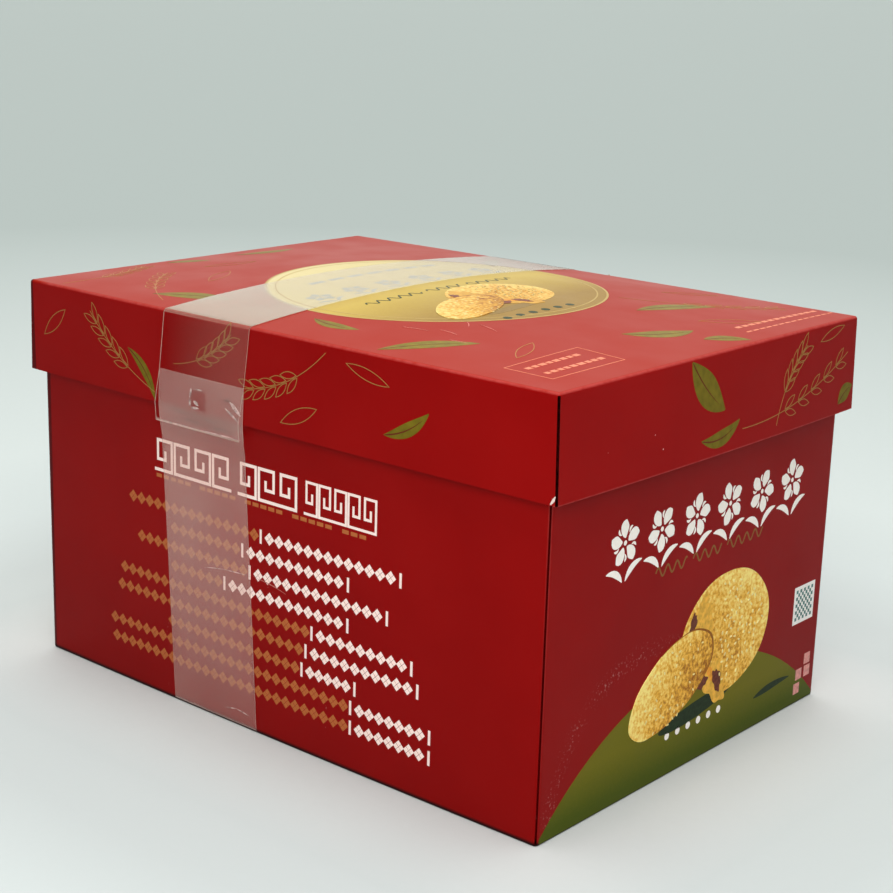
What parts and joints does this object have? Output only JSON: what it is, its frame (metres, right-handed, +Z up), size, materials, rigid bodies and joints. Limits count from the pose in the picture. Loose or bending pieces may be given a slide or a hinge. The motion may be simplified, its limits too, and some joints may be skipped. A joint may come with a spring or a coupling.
{
  "type": "taped pastry carton",
  "caption": "Shut pastry carton: a folded board tray under a drop-over lid with a domed panel, bound by clear packing tape over the lid and down both long sides.",
  "frame": {"origin": "on the floor, under the middle of the carton", "axes": "+X along the carton's long side, +Z up; the long side that the picture shows faces -Y and the short end that it shows faces +X"},
  "size_m": [0.275, 0.1984, 0.1652],
  "materials": {
    "tray_board": "satin laminated print",
    "lid_board": "satin laminated print",
    "tape_film": "clear gloss film"
  },
  "bodies": {
    "root": {"tray": "tray_board", "lid": "lid_board", "tape_over_lid": "tape_film", "tape_down_front": "tape_film", "tape_down_back": "tape_film"}
  },
  "joints": []
}
